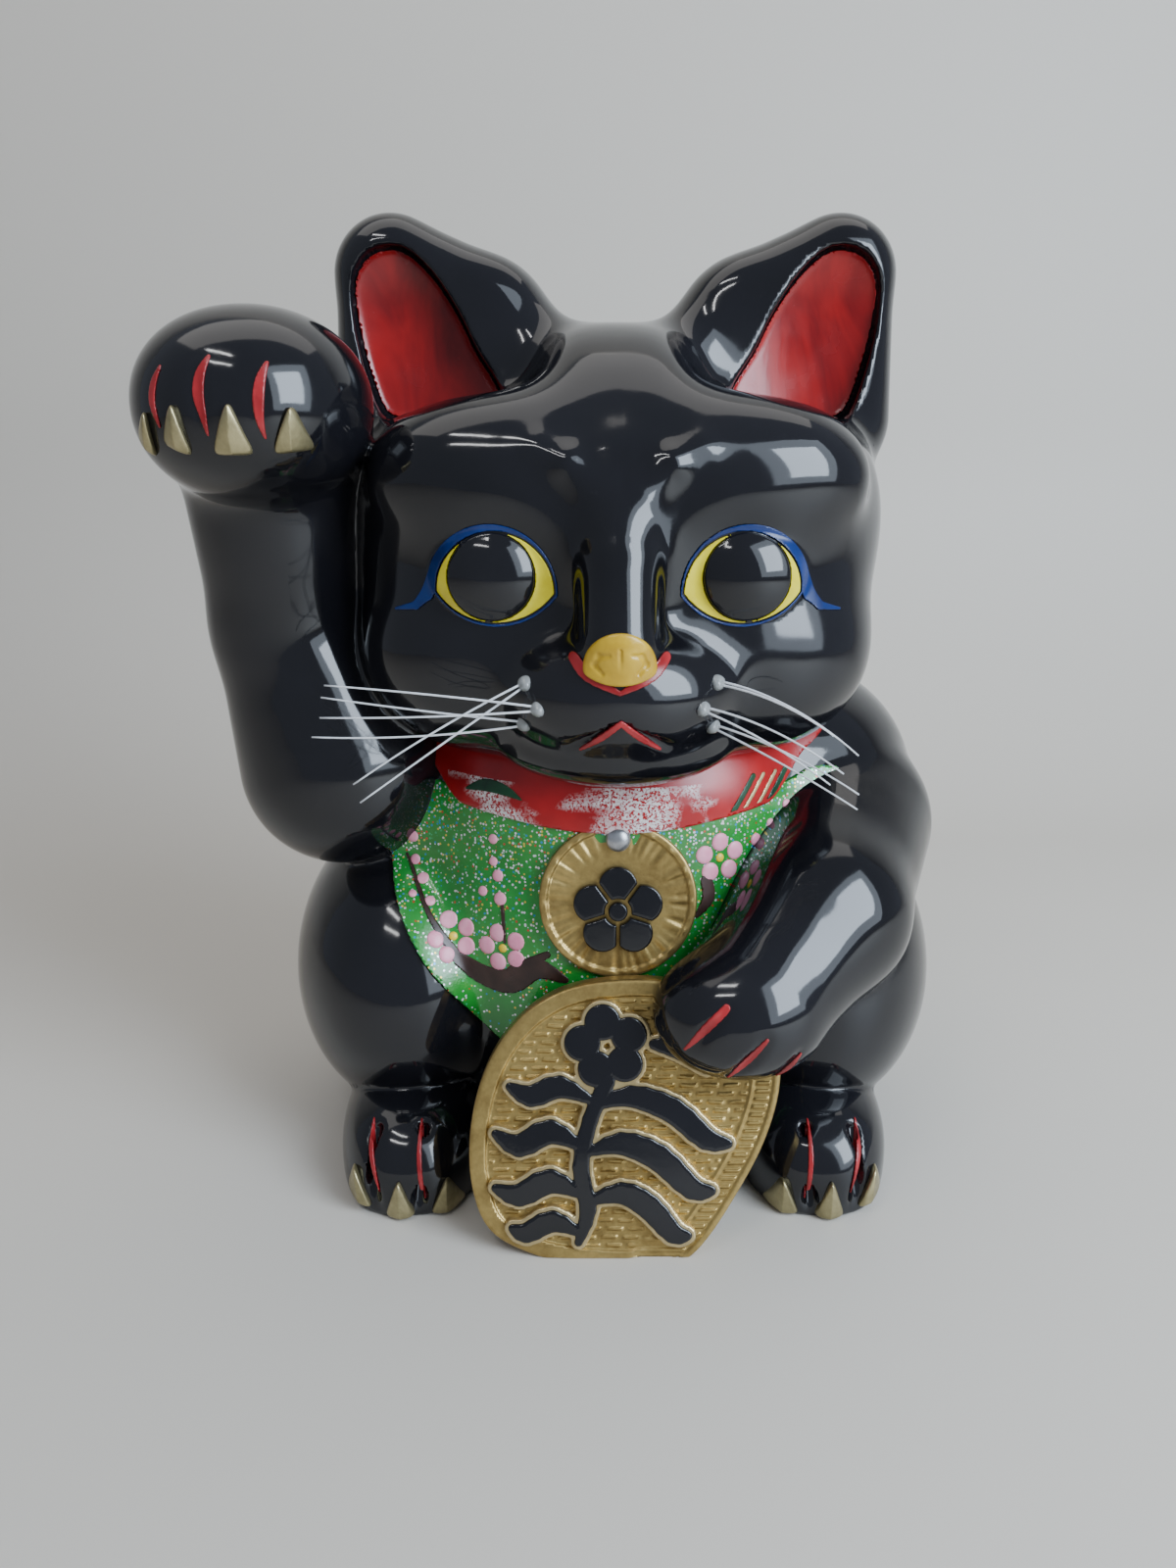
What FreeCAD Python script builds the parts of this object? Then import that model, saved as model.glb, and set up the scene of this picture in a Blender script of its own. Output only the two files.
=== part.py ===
import FreeCAD, Part
import math
import os
from FreeCAD import Matrix, Rotation, Vector

# A beckoning cat: a slip-cast, glazed coin bank, 430 mm high, sitting upright.
# Origin: on the table plane under the body. +Z up, -Y is the way the cat looks,
# and +X is on the right of a person who stands in front of it. Millimetres.

# ---- driving dimensions --------------------------------------------------
WALL = 6.0                    # fired wall of body and head
LIMB_WALL = 5.0               # fired wall of arms and feet
VENT_R = 7.0                  # vent holes from the limbs into the body
NECK_R = 46.0                 # hole that joins the head's hollow to the body's

STOPPER_Y = 46.0              # centre of the hole in the base
RECESS_R = 31.0               # dished ring round the hole, clear of the table
RECESS_DEPTH = 6.0
HOLE_R = 22.0
PLUG_CLEARANCE = 0.05
FLANGE_R = 28.0
FLANGE_T = 3.5
PLUG_L = 16.0

SLOT_W = 46.0                 # coin slot at the back of the head
SLOT_H = 5.5
SLOT_Z = 318.0

COLLAR_GROW = 4.0
COLLAR_REACH = 23.0           # how far the collar comes out from under the head

BIB_GROW = 2.5

MEDALLION_R = 34.5
MEDALLION_T = 7.0
MEDALLION_C = Vector(1, -98.5, 144)
MEDALLION_LEAN = 9.0          # degrees from upright, top tips back
STUD_R = 5.5

KOBAN_LEAN = 15.8
KOBAN_T = 13.0
KOBAN_FOOT_Y = -150.0         # front edge of the koban on the table
KOBAN_A = 72.8
KOBAN_B = 62.4
KOBAN_TURN = 53.6             # long axis from upright, towards +X
RELIEF = 3.5                  # height of raised ornament

WHISKER_R = 0.55
CLAW_R = 5.6
CLAW_TIP_R = 2.0
EYE_X = 47.5
EYE_Z = 285.0
SIDES = {"left": -1, "right": 1}


# ---- solids ---------------------------------------------------------------
def ellipsoid(centre, radii, grow=0.0):
    """A closed ellipsoid, each radius enlarged by grow."""
    matrix = Matrix()
    matrix.scale(radii[0] + grow, radii[1] + grow, radii[2] + grow)
    matrix.move(Vector(*centre))
    return Part.makeSphere(1).transformGeometry(matrix)


def round_cone(start, start_r, end, end_r, grow=0.0):
    """Two spheres of different radii and the cone that touches both."""
    start = Vector(*start)
    end = Vector(*end)
    r0 = start_r + grow
    r1 = end_r + grow
    length = (end - start).Length
    slope = math.asin((r0 - r1) / length)

    def on_ball(radius, angle, along):
        return Vector(radius * math.cos(angle), 0, along + radius * math.sin(angle))

    low_mid = on_ball(r0, (slope - math.pi / 2) / 2, 0)
    high_mid = on_ball(r1, (slope + math.pi / 2) / 2, length)
    low = Vector(0, 0, -r0)
    high = Vector(0, 0, length + r1)
    lower_touch = on_ball(r0, slope, 0)
    upper_touch = on_ball(r1, slope, length)
    edges = [
        Part.Arc(low, low_mid, lower_touch).toShape(),
        Part.LineSegment(lower_touch, upper_touch).toShape(),
        Part.Arc(upper_touch, high_mid, high).toShape(),
        Part.LineSegment(high, low).toShape(),
    ]
    solid = Part.Face(Part.Wire(edges)).revolve(Vector(0, 0, 0), Vector(0, 0, 1), 360)
    solid.Placement = FreeCAD.Placement(start, Rotation(Vector(0, 0, 1), end - start))
    return solid


def fuse(shapes):
    return shapes[0].multiFuse(shapes[1:]) if len(shapes) > 1 else shapes[0]


def less(shape, tools):
    """A shape with each tool cut away in turn."""
    for tool in tools:
        shape = shape.cut(tool)
    return shape


def largest(shape):
    return max(shape.Solids, key=lambda solid: solid.Volume)


def mirrored(point, side):
    """A point given for the +X side, taken to the side asked for."""
    return (point[0] * side, point[1], point[2])


def box(low, high):
    size = [high[i] - low[i] for i in range(3)]
    return Part.makeBox(size[0], size[1], size[2], Vector(*low))


def above(shape, level=0.0):
    """The part of a shape above a level plane."""
    return shape.cut(box((-400, -400, level - 300), (400, 400, level)))


def channel(start, end, radius):
    start = Vector(*start)
    run = Vector(*end) - start
    return Part.makeCylinder(radius, run.Length, start, run)


def front_y(shape, x, z):
    """Where a line looking along +Y first meets a shape."""
    sight = Part.LineSegment(Vector(x, -300, z), Vector(x, 300, z)).toShape()
    return shape.common(sight).BoundBox.YMin


def save(node, shape):
    solids = shape.Solids
    result = solids[0] if len(solids) == 1 else Part.makeCompound(solids)
    result.exportStep("parts/%s.step" % node)
    size = result.optimalBoundingBox(False)
    print("%-22s solids %2d  valid %s  volume %9.0f  x %7.1f %7.1f  y %7.1f %7.1f  z %7.1f %7.1f" % (
        node, len(solids), result.isValid(), result.Volume,
        size.XMin, size.XMax, size.YMin, size.YMax, size.ZMin, size.ZMax))


# ---- forms of the castings --------------------------------------------------
def torso_form(grow=0.0):
    balls = [
        ellipsoid((0, 12, 98), (118, 112, 150), grow),
        ellipsoid((0, 0, 180), (96, 90, 62), grow),
    ]
    for side in SIDES.values():
        balls.append(ellipsoid(mirrored((86, 20, 166), side), (68, 76, 62), grow))
        balls.append(ellipsoid(mirrored((98, -8, 78), side), (62, 94, 82), grow))
    return above(fuse(balls), -min(grow, 0))


def skull_form(grow=0.0):
    balls = [ellipsoid((0, -18, 298), (121, 103, 87), grow)]
    for side in SIDES.values():
        balls.append(ellipsoid(mirrored((52, -57, 248), side), (61, 58, 50), grow))
    return fuse(balls)


def head_form(grow=0.0):
    """The skull and cheeks with the muzzle and the chin."""
    muzzle = ellipsoid((0, -104, 238), (46, 38, 28), grow)
    chin = ellipsoid((0, -93, 210), (44, 33, 16), grow)
    return fuse([skull_form(grow), muzzle, chin])


def raised_arm_form(grow=0.0):
    elbow = (-146, -46, 255)
    return fuse([
        round_cone((-126, -40, 190), 48, elbow, 33, grow),
        round_cone(elbow, 33, (-146, -60, 322), 37, grow),
        ellipsoid((-144, -84, 347), (46, 50, 38), grow),
    ])


def lowered_arm_form(grow=0.0):
    elbow = (92, -84, 132)
    return fuse([
        round_cone((110, -14, 152), 48, elbow, 38, grow),
        round_cone(elbow, 38, (60, -120, 108), 31, grow),
        ellipsoid((50, -126, 104), (34, 30, 27), grow),
    ])


def foot_form(side, grow=0.0):
    return above(ellipsoid(mirrored((94, -61, 13), side), (36, 63, 36), grow), -min(grow, 0))


def ear_form():
    """The ear on the +X side: a thick rounded triangle with a hollow in front."""
    tip = (97, -8, 405)
    shapes = [
        round_cone((40, -14, 355), 27, tip, 24.5),
        round_cone((64, -8, 374), 31, tip, 24.5),
        round_cone((101, -4, 350), 24, tip, 24.4),
        round_cone((74, -4, 352), 34, (89, -4, 392), 25),
    ]
    hollow = round_cone((80, -38, 366), 19, (93, -32, 396), 12)
    return fuse(shapes).cut(hollow)


# ---- castings ---------------------------------------------------------------
def make_castings(torso, head, lowered):
    raised = raised_arm_form()
    parts = {}

    hollow = torso_form(-WALL)
    neck = channel((0, -6, 190), (0, -6, 232), NECK_R)
    recess = Part.makeCylinder(RECESS_R, RECESS_DEPTH, Vector(0, STOPPER_Y, 0))
    hole = Part.makeCylinder(HOLE_R, 40, Vector(0, STOPPER_Y, -5))
    pad = Part.makeCylinder(RECESS_R + WALL, RECESS_DEPTH + WALL, Vector(0, STOPPER_Y, 0))
    vents = [
        channel((-70, -20, 185), (-136, -34, 195), VENT_R),
        channel((60, -10, 150), (118, -30, 150), VENT_R),
        channel((-70, -50, 22), (-96, -80, 16), VENT_R),
        channel((70, -50, 22), (96, -80, 16), VENT_R),
    ]
    shell = torso.cut(hollow).fuse(pad)
    parts["torso_shell"] = largest(less(shell, [head, recess, hole] + vents))

    slot = box((-SLOT_W / 2, 40, SLOT_Z - SLOT_H / 2), (SLOT_W / 2, 120, SLOT_Z + SLOT_H / 2))
    parts["head_shell"] = head.cut([skull_form(-WALL), neck, slot])

    raised_shell = raised.cut(raised_arm_form(-LIMB_WALL))
    parts["raised_arm"] = less(raised_shell, [torso, head])
    lowered_shell = lowered.cut(lowered_arm_form(-LIMB_WALL))
    parts["lowered_arm"] = less(lowered_shell, [torso, head])

    for name, side in SIDES.items():
        foot_shell = foot_form(side).cut(foot_form(side, -LIMB_WALL))
        parts[name + "_foot"] = foot_shell.cut(torso)
    parts["right_ear"] = ear_form().cut(head)
    parts["left_ear"] = parts["right_ear"].mirror(Vector(0, 0, 0), Vector(1, 0, 0))
    tail = round_cone((-8, 108, 34), 20, (46, 100, 24), 15)
    parts["tail"] = above(tail).cut(torso)
    return parts


# ---- collar, bib and medallion ------------------------------------------------
def collar(torso, blockers):
    """A band round the neck: the skin of the shoulders that lies close to the head."""
    band = torso_form(COLLAR_GROW).common(head_form(COLLAR_REACH))
    return largest(less(band, [torso] + blockers))


def bib(torso, blockers):
    """Apron on the chest, its tip hanging low behind the koban."""
    half = [(30, 58), (54, 72), (71, 92), (88, 114), (101, 138), (105, 172)]
    outline = [(-x, z) for x, z in reversed(half)] + [(0, 53)] + half
    points = [Vector(x, 0, z) for x, z in outline]
    curve = Part.BSplineCurve()
    curve.interpolate(points)
    rim = Part.Wire([curve.toShape(), Part.LineSegment(points[-1], points[0]).toShape()])
    prism = Part.Face(rim).extrude(Vector(0, -160, 0))
    return less(torso_form(BIB_GROW).common(prism), [torso] + blockers)


def petals(centre_x, centre_y, orbit, radius, height):
    """A five-petal blossom, lying flat."""
    discs = [Part.makeCylinder(radius * 0.8, height, Vector(centre_x, centre_y, 0))]
    for index in range(5):
        angle = math.radians(90 + 72 * index)
        place = Vector(centre_x + orbit * math.cos(angle), centre_y + orbit * math.sin(angle), 0)
        discs.append(Part.makeCylinder(radius, height, place))
    return fuse(discs)


def leaf(start, end, width, height):
    """A lens-shaped leaf, lying flat between two points."""
    start = Vector(start[0], start[1], 0)
    end = Vector(end[0], end[1], 0)
    middle = (start + end) * 0.5
    across = (end - start).cross(Vector(0, 0, 1)).normalize() * (width / 2)
    rim = Part.Wire([
        Part.Arc(start, middle + across, end).toShape(),
        Part.Arc(end, middle - across, start).toShape(),
    ])
    return Part.Face(rim).extrude(Vector(0, 0, height))


def stand(shape, lean, origin):
    """Raise a flat shape so that its +Z looks out of the cat's front, leaning back."""
    upright = FreeCAD.Placement(Vector(*origin), Rotation(Vector(1, 0, 0), 90 - lean))
    shape.Placement = upright.multiply(shape.Placement)
    return shape


def make_medallion():
    origin = MEDALLION_C
    disc = Part.makeCylinder(MEDALLION_R, MEDALLION_T, Vector(0, 0, -MEDALLION_T))
    emblem = petals(0, -4, 11, 8, RELIEF)
    stud = Part.makeCylinder(STUD_R, 3, Vector(0, 26, 0))
    return {
        "medallion": stand(disc, MEDALLION_LEAN, origin),
        "medallion_emblem": stand(emblem, MEDALLION_LEAN, origin),
        "medallion_stud": stand(stud, MEDALLION_LEAN, origin),
    }


# ---- koban ---------------------------------------------------------------------
def make_koban(blockers):
    plate = Part.Face(Part.Wire([Part.Ellipse(Vector(0, 0, 0), KOBAN_A, KOBAN_B).toShape()]))
    plate = plate.extrude(Vector(0, 0, KOBAN_T))
    plate.Placement = FreeCAD.Placement(
        Vector(2, 57, -KOBAN_T), Rotation(Vector(0, 0, 1), 90 - KOBAN_TURN))
    origin = (0, KOBAN_FOOT_Y, 0)
    plate = less(above(stand(plate, KOBAN_LEAN, origin)), blockers)
    ornament = fuse([
        petals(-8, 84, 13, 9.5, RELIEF),
        leaf((-40, 22), (14, 62), 17, RELIEF),
        leaf((-20, 12), (34, 44), 15, RELIEF),
        leaf((-46, 46), (-14, 66), 12, RELIEF),
    ])
    ornament = less(stand(ornament, KOBAN_LEAN, origin), blockers)
    return {"koban": plate, "koban_emblem": ornament}


# ---- small trim -------------------------------------------------------------------
def make_eyes(head):
    parts = {}
    for name, side in SIDES.items():
        dome = ellipsoid((EYE_X * side, -104, EYE_Z), (23, 17, 19))
        parts[name + "_eye"] = dome.cut(head)
    return parts


def claws(places, height, casting):
    """Drops of enamel let into the casting's front face, each one tapering upwards."""
    drops = []
    for x, z in places:
        low = Vector(x, front_y(casting, x, z) + 1.5, z)
        high_z = z + height
        high = Vector(x, front_y(casting, x, high_z) + 0.5, high_z)
        drops.append(round_cone(low, CLAW_R, high, CLAW_TIP_R))
    return Part.makeCompound(drops)


# Each pair of nylon whiskers: the (x, z) of its hole and its two tips.
WHISKER_TIPS = {
    "left": [((-36, 244), [(-101, -145, 209), (-98, -149, 203)]),
             ((-31, 235), [(-111, -140, 245), (-113, -142, 233)]),
             ((-37, 227), [(-113, -138, 240), (-117, -140, 225)])],
    "right": [((38, 244), [(91, -140, 218), (80, -142, 226)]),
              ((32, 235), [(84, -148, 214), (79, -149, 210)]),
              ((37, 226), [(91, -145, 205), (90, -148, 199)])],
}


def whisker(root, tip, sag):
    tip = Vector(*tip)
    middle = (root + tip) * 0.5 + Vector(0, -3, sag)
    path = Part.Wire([Part.Arc(root, middle, tip).toShape()])
    ring = Part.Wire([Part.makeCircle(WHISKER_R, root, path.Edges[0].tangentAt(
        path.Edges[0].FirstParameter))])
    return path.makePipeShell([ring], True, True)


def make_whiskers(head):
    parts = {}
    dots = []
    for name, groups in WHISKER_TIPS.items():
        hairs = []
        for (x, z), tips in groups:
            root = Vector(x, front_y(head, x, z), z)
            pair = []
            for index, tip in enumerate(tips):
                spread = Vector(0, 0, 1.6 * (0.5 - index))
                hair = whisker(root + spread, tip, 3 - 2 * index)
                pair.append(hair.cut(head))
            dots.append(less(ellipsoid(root, (3.4, 2.6, 3.2)), [head] + pair))
            hairs.extend(pair)
        parts[name + "_whiskers"] = Part.makeCompound(hairs)
    parts["whisker_glue"] = Part.makeCompound(dots)
    return parts


def make_stopper():
    plug_r = HOLE_R - PLUG_CLEARANCE
    flange_z = RECESS_DEPTH - FLANGE_T
    flange = Part.makeCylinder(FLANGE_R, FLANGE_T, Vector(0, STOPPER_Y, flange_z))
    plug = Part.makeCylinder(plug_r, PLUG_L, Vector(0, STOPPER_Y, flange_z))
    dish = Part.makeCone(9, 13, PLUG_L - 5, Vector(0, STOPPER_Y, flange_z + 5))
    return flange.fuse(plug).cut(dish)


# ---- assembly ----------------------------------------------------------------------
def build():
    torso = torso_form()
    head = head_form()
    lowered = lowered_arm_form()
    feet = [foot_form(side) for side in SIDES.values()]
    parts = make_castings(torso, head, lowered)

    raised = raised_arm_form()
    parts["collar"] = collar(torso, [head, raised, lowered])
    medallion = make_medallion()
    disc = medallion["medallion"]
    parts["bib"] = bib(torso, [head, raised, lowered, parts["collar"]])
    medallion["medallion"] = less(disc, [torso_form(BIB_GROW), head, lowered])
    parts.update(medallion)
    parts["collar"] = parts["collar"].cut(medallion["medallion"])
    parts["bib"] = parts["bib"].cut(medallion["medallion"])

    parts.update(make_koban([torso, lowered] + feet))
    parts.update(make_eyes(head))
    nose = ellipsoid((0, -131, 257), (16, 14, 11))
    parts["nose"] = nose.cut(head)

    paw_claws = [(-170, 336), (-155, 333), (-138, 333), (-121, 336)]
    parts["raised_paw_claws"] = claws(paw_claws, 9, raised)
    for foot, (name, side) in zip(feet, SIDES.items()):
        places = [(x * side, 8) for x in (76, 94, 111)]
        parts[name + "_foot_claws"] = claws(places, 9, foot)
    parts.update(make_whiskers(head))
    parts["base_stopper"] = make_stopper()
    return parts


os.makedirs("parts", exist_ok=True)
for node, shape in build().items():
    save(node, shape)
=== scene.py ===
import bpy
import numpy as np
from math import cos, hypot, pi, radians, sin
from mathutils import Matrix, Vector


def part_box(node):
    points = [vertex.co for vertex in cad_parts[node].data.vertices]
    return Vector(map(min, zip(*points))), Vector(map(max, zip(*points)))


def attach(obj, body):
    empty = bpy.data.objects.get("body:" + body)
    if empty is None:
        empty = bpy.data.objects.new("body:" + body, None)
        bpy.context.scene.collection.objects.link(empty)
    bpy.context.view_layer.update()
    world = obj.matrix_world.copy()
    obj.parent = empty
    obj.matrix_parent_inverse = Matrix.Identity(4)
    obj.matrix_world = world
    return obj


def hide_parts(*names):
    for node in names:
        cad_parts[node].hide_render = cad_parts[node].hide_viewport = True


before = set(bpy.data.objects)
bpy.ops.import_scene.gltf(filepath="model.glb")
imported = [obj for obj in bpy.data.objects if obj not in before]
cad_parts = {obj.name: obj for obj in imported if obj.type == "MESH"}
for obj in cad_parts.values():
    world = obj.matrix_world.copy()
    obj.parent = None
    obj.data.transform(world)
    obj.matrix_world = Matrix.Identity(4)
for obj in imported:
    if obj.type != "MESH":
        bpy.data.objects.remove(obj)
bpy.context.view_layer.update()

# Everything below is sculpted in millimetres and turned to metres when a mesh is made.
# +Z is up, -Y is the way the cat looks, and +X is on the right of a person facing it.
MM = 0.001
GRID = 1.0
BODY = "figurine"


# ---- camera, light and stage ----
def put(name, data):
    """A new object in the scene."""
    made = bpy.data.objects.new(name, data)
    bpy.context.scene.collection.objects.link(made)
    return made


def set_camera():
    data = bpy.data.cameras.new("camera")
    data.lens = 27
    data.sensor_width = 36
    camera = put("camera", data)
    camera.location = (-0.012, -0.574, 0.3336)
    camera.rotation_euler = (radians(90 - 16.2), 0, 0)
    bpy.context.scene.camera = camera


def area_light(name, place, aim, size, energy, colour=(1, 1, 1)):
    data = bpy.data.lights.new(name, "AREA")
    data.shape = "RECTANGLE"
    data.size, data.size_y = size
    data.energy = energy
    data.color = colour
    light = put(name, data)
    light.location = place
    light.rotation_euler = (Vector(aim) - Vector(place)).to_track_quat("-Z", "Y").to_euler()


def set_stage():
    """A plain pale floor that curves up into a backdrop, and a few soft lamps."""
    half, back, front, bend, top = 2.4, 0.75, -1.6, 0.35, 1.9
    profile = [(front, 0.0), (back - bend, 0.0)]
    for i in range(1, 13):
        angle = radians(90 * i / 12)
        profile.append((back - bend + bend * sin(angle), bend - bend * cos(angle)))
    profile.append((back, top))
    points = [(x, y, z) for y, z in profile for x in (-half, half)]
    faces = [(2 * i, 2 * i + 1, 2 * i + 3, 2 * i + 2) for i in range(len(profile) - 1)]
    mesh = bpy.data.meshes.new("floor")
    mesh.from_pydata(points, [], faces)
    mesh.shade_smooth()
    put("floor", mesh)
    material = bpy.data.materials.new("floor")
    material.use_nodes = True
    shader = material.node_tree.nodes["Principled BSDF"]
    shader.inputs["Base Color"].default_value = (0.60, 0.56, 0.50, 1)
    shader.inputs["Roughness"].default_value = 0.55
    mesh.materials.append(material)
    world = bpy.data.worlds.new("world")
    world.use_nodes = True
    sky = world.node_tree.nodes["Background"].inputs
    sky["Color"].default_value = (0.62, 0.68, 0.80, 1)
    sky["Strength"].default_value = 0.42
    bpy.context.scene.world = world
    centre = (0, 0, 0.2)
    area_light("window", (1.02, -0.92, 0.86), centre, (0.72, 1.0), 27, (0.74, 0.86, 1.0))
    area_light("window_glow", (1.08, -0.97, 0.90), centre, (1.3, 1.6), 20, (0.74, 0.86, 1.0))
    area_light("ceiling", (-0.1, 0.30, 1.85), (0, 0, 0), (2.4, 0.9), 9, (1.0, 0.96, 0.90))
    area_light("strip_one", (-0.55, -1.0, 1.5), centre, (0.55, 0.04), 2.2)
    area_light("strip_two", (-0.55, -0.7, 1.75), centre, (0.55, 0.04), 2.2)


set_camera()
set_stage()


# ---- distance fields ----
def vec(values):
    return np.array(values, np.float32)


def ellipsoid(p, centre, radii, lean=0.0):
    """Distance to an ellipsoid; lean turns it about the Y axis, in degrees."""
    q = p - vec(centre)
    if lean:
        c = cos(radians(lean))
        s = sin(radians(lean))
        q = np.stack([c * q[:, 0] - s * q[:, 2], q[:, 1], s * q[:, 0] + c * q[:, 2]], 1)
    q = q / vec(radii)
    near = np.sqrt((q * q).sum(1))
    q = q / vec(radii)
    return near * (near - 1) / (np.sqrt((q * q).sum(1)) + 1e-6)


def bulged(p, centre, radii, power):
    """An ellipsoid with fuller corners; power 2 is a plain one."""
    q = (p - vec(centre)) / vec(radii)
    near = (np.abs(q) ** power).sum(1) ** (1 / power)
    q = q / vec(radii)
    return near * (near - 1) / (np.sqrt((q * q).sum(1)) + 1e-6)


def limb(p, start, end, start_r, end_r):
    """Distance to two balls and the cone that touches both."""
    start = vec(start)
    axis = vec(end) - start
    length2 = float(axis @ axis)
    swell = start_r - end_r
    flat2 = length2 - swell * swell
    q = p - start
    along = q @ axis
    side = q * length2 - along[:, None] * axis
    side2 = (side * side).sum(1)
    past = along - length2
    past2 = past * past * length2
    along2 = along * along * length2
    rule = np.sign(swell) * swell * swell * side2
    cone = (np.sqrt(side2 * flat2 / length2) + along * swell) / length2 - start_r
    beyond = np.sqrt(side2 + past2) / length2 - end_r
    before = np.sqrt(side2 + along2) / length2 - start_r
    d = np.where(np.sign(past) * flat2 * past2 > rule, beyond, cone)
    return np.where(np.sign(along) * flat2 * along2 < rule, before, d)


def join(a, b, k=0.0):
    """Union, with a fillet about k wide."""
    if k <= 0:
        return np.minimum(a, b)
    h = np.maximum(k - np.abs(a - b), 0) / k
    return np.minimum(a, b) - h * h * h * k / 6


def keep(a, b, k=0.0):
    """What lies in both, with rounded edges."""
    return -join(-a, -b, k)


def carve(a, b, k=0.0):
    """What lies in a and not in b."""
    return keep(a, -b, k)


def paired(p):
    """The +X side's point for each point, for what is the same on both sides."""
    q = p.copy()
    q[:, 0] = np.abs(q[:, 0])
    return q


def smoothstep(x, low, high):
    t = np.clip((x - low) / (high - low), 0, 1)
    return t * t * (3 - 2 * t)


def tube(p, points, radii, k=2.0):
    """Limbs end to end through the points."""
    d = None
    for i in range(len(points) - 1):
        part = limb(p, points[i], points[i + 1], radii[i], radii[i + 1])
        d = part if d is None else join(d, part, k)
    return d


# ---- the castings ----
TOES = (86, 107)               # x of the grooves between the toes of the hind feet


def torso(p):
    q = paired(p)
    d = ellipsoid(p, (0, 12, 98), (118, 112, 150))
    d = join(d, ellipsoid(p, (0, 0, 180), (96, 90, 62)), 26)
    d = join(d, ellipsoid(q, (86, 20, 166), (68, 76, 62)), 22)
    d = join(d, ellipsoid(q, (98, -6, 80), (62, 94, 76)), 12)
    return keep(d, -p[:, 2], 4)


def hind_foot(p):
    q = paired(p)
    d = bulged(q, (94, -61, 12), (36, 63, 37), 2.4)
    for x in TOES:
        groove = limb(q, (x, -108, 36), (x + 1.5, -126, 2), 2.2, 3.4)
        d = carve(d, groove, 5)
    return keep(d, -p[:, 2], 3)


def skull(p):
    """The head without ears."""
    q = paired(p)
    d = bulged(p, (0, -18, 298), (120, 102, 86), 2.15)
    d = carve(d, bulged(q, (98, -88, 398), (70, 60, 52), 4), 24)
    d = join(d, ellipsoid(q, (52, -57, 248), (59, 56, 48)), 30)
    d = join(d, ellipsoid(p, (0, -106, 238), (46, 36, 28)), 22)
    d = join(d, ellipsoid(p, (0, -92, 211), (46, 33, 16)), 22)
    d = join(d, ellipsoid(q, (52, -85, 321), (47, 30, 27)), 28)
    d = carve(d, ellipsoid(q, (50, -134, 286), (31, 22, 25)), 12)
    d = join(d, ellipsoid(q, (48.5, -97, 283.5), (27, 23, 24)), 3)
    d = join(d, tube(p, [(0, -104, 322), (0, -119, 290), (0, -130, 262)], [16, 15, 14.5]), 16)
    fold = tube(q, [(10, -117, 316), (20, -117, 326), (30, -113, 330)], [2.4, 2.8, 1.5])
    d = join(d, fold, 18)
    lip = limb(q, (2, -138, 231), (20, -131, 219), 1.2, 1.6)
    return carve(d, lip, 5)


def ear_block(p):
    q = paired(p)
    d = tube(q, [(34, -12, 350), (63, -8, 378), (98, -8, 404.5)], [30, 36, 24.8], 6)
    d = join(d, limb(q, (102, -6, 344), (99, -8, 404), 24, 24.4), 8)
    d = join(d, limb(q, (78, -6, 350), (88, -6, 390), 36, 27), 12)
    return keep(d, np.abs(q[:, 1] + 7) - 28, 16)


def rounded_triangle(u, v, corners, radius):
    """Distance in a plane to a triangle with rounded corners, given anticlockwise."""
    d = None
    for i in range(3):
        ax, ay = corners[i]
        bx, by = corners[(i + 1) % 3]
        length = hypot(bx - ax, by - ay)
        edge = ((u - ax) * (by - ay) - (v - ay) * (bx - ax)) / length
        d = edge if d is None else keep(d, edge, radius)
    return d


def spline(a, b, c, d, per_span):
    """Points along the smooth curve from b towards c."""
    return [0.5 * (2 * b + (c - a) * t + (2 * a - 5 * b + 4 * c - d) * t * t
                   + (3 * b - a - 3 * c + d) * t ** 3) for t in np.arange(per_span) / per_span]


def smooth_loop(points, per_span=6):
    """A closed smooth curve through the points, as a ring of short straight runs."""
    points = np.array(points, float)
    ring = []
    for i in range(len(points)):
        ring += spline(*(points[(i + k) % len(points)] for k in (-1, 0, 1, 2)), per_span)
    return np.array(ring)


def in_loop(u, v, ring):
    """Signed distance in a plane to a closed ring of points."""
    nearest = np.full(len(u), 1e9)
    inside = np.zeros(len(u), bool)
    for (ax, ay), (bx, by) in zip(ring, np.roll(ring, -1, 0)):
        ex, ey = bx - ax, by - ay
        t = np.clip(((u - ax) * ex + (v - ay) * ey) / (ex * ex + ey * ey + 1e-12), 0, 1)
        nearest = np.minimum(nearest, np.hypot(u - ax - t * ex, v - ay - t * ey))
        crosses = (ay > v) != (by > v)
        at = ax + (v - ay) / (ey if abs(ey) > 1e-12 else 1e-12) * ex
        inside ^= crosses & (u < at)
    return np.where(inside, -nearest, nearest)


EAR_EDGE = [(92, 414), (106, 412), (114, 401), (114, 384), (110, 364), (103, 346), (92, 343),
            (74, 345), (58, 346), (49, 349), (51, 358), (60, 372), (68, 388), (79, 404)]
EAR_RING = smooth_loop(EAR_EDGE, 3)


def ear_hollow(p):
    """The space in front of the ear's red lining."""
    q = paired(p)
    bowl = ellipsoid(q, (86, -52, 374), (60, 35, 68))
    near = bowl < 14
    outline = np.full(len(q), 30.0, np.float32)
    outline[near] = in_loop(q[near, 0], q[near, 2], EAR_RING)
    return keep(outline, bowl, 5)


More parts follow.
